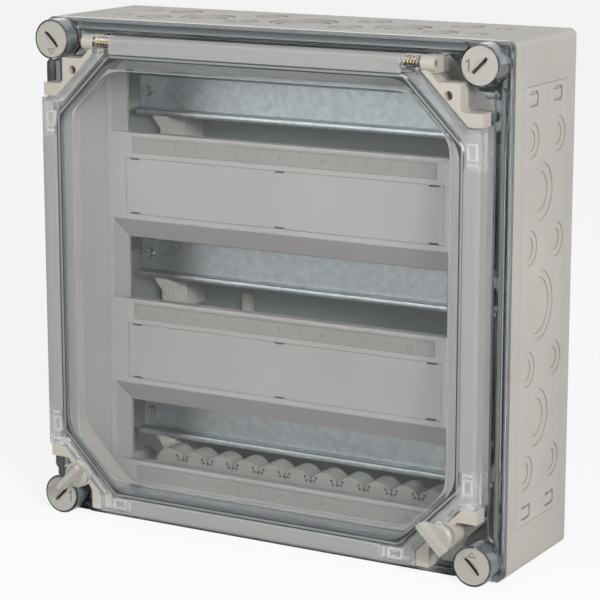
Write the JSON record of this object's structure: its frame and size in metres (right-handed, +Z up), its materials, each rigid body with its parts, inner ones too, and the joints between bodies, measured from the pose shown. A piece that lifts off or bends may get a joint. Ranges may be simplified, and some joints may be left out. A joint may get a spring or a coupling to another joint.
{
  "type": "circuit breaker enclosure",
  "caption": "Square wall enclosure for rail-mounted circuit breakers, with snap-in knock-out walls, clear locked lid, hinged octagonal window with thumb latches, rails and slotted front panel.",
  "frame": {"origin": "back plane, centre of the wall fixing holes", "axes": "+Z up, +X to the right seen from the front, the front looks along -Y"},
  "size_m": [0.375, 0.1477, 0.375],
  "materials": {
    "base": "matt moulded plastic, warm pebble grey",
    "plates": "matt moulded plastic, warm pebble grey",
    "clear": "clear gloss plastic with blue-grey edges",
    "seal": "matt grey seal",
    "dark_seal": "matt dark ring",
    "locks": "satin plastic, warm pebble grey",
    "strips": "pale translucent plastic",
    "brass": "plain brass",
    "brackets": "satin plastic, light beige",
    "latches": "satin plastic, light beige",
    "screws": "zinc plated steel",
    "panel": "matt grey plastic",
    "covers": "matt grey plastic",
    "marks": "matt grey plastic",
    "rail": "galvanised steel, blue grey",
    "frame": "matt beige plastic"
  },
  "bodies": {
    "enclosure": {"base_box": "base", "base_gasket": "seal", "lid": "clear", "window_gasket": "seal", "lock_seals": "dark_seal", "bracket_screws": "screws", "front_panel": "panel", "row_cover_upper": "covers", "row_cover_lower": "covers", "rail_screws": "screws", "upright_left": "frame", "upright_right": "frame", "terminal_carrier": "frame", "knockout_plate_left": "plates", "knockout_plate_right": "plates", "knockout_plate_top": "plates", "knockout_plate_bottom": "plates", "corner_bracket_tl": "brackets", "corner_bracket_tr": "brackets", "corner_bracket_bl": "brackets", "corner_bracket_br": "brackets", "marking_strip_1": "marks", "din_rail_1": "rail", "marking_strip_2": "marks", "din_rail_2": "rail", "marking_strip_3": "marks", "din_rail_3": "rail"},
    "window": {"window_flap": "clear", "edge_strip_top": "strips", "edge_strip_bottom": "strips", "edge_strip_left": "strips", "edge_strip_right": "strips", "hinge_pins": "brass", "hinge_springs": "brass"},
    "latch_left": {"latch_left": "latches"},
    "latch_right": {"latch_right": "latches"},
    "lock_tl": {"lid_lock_tl": "locks"},
    "lock_tr": {"lid_lock_tr": "locks"},
    "lock_bl": {"lid_lock_bl": "locks"},
    "lock_br": {"lid_lock_br": "locks"}
  },
  "joints": [
    {"name": "window_hinge", "type": "hinge", "parent": "enclosure", "child": "window", "pos_m": [0, -0.126, 0.1725], "axis": [-1, 0, 0], "range_deg": [0, 105]},
    {"name": "latch_left_turn", "type": "hinge", "parent": "window", "child": "latch_left", "pos_m": [-0.15214, -0.13, -0.15214], "axis": [0, -1, 0], "range_deg": [0, 90]},
    {"name": "latch_right_turn", "type": "hinge", "parent": "window", "child": "latch_right", "pos_m": [0.15214, -0.13, -0.15214], "axis": [0, 1, 0], "range_deg": [0, 90]},
    {"name": "lock_tl_turn", "type": "hinge", "parent": "enclosure", "child": "lock_tl", "pos_m": [-0.1725, -0.12, 0.1725], "axis": [0, -1, 0], "range_deg": [0, 90]},
    {"name": "lock_tr_turn", "type": "hinge", "parent": "enclosure", "child": "lock_tr", "pos_m": [0.1725, -0.12, 0.1725], "axis": [0, -1, 0], "range_deg": [0, 90]},
    {"name": "lock_bl_turn", "type": "hinge", "parent": "enclosure", "child": "lock_bl", "pos_m": [-0.1725, -0.12, -0.1725], "axis": [0, -1, 0], "range_deg": [0, 90]},
    {"name": "lock_br_turn", "type": "hinge", "parent": "enclosure", "child": "lock_br", "pos_m": [0.1725, -0.12, -0.1725], "axis": [0, -1, 0], "range_deg": [0, 90]}
  ]
}
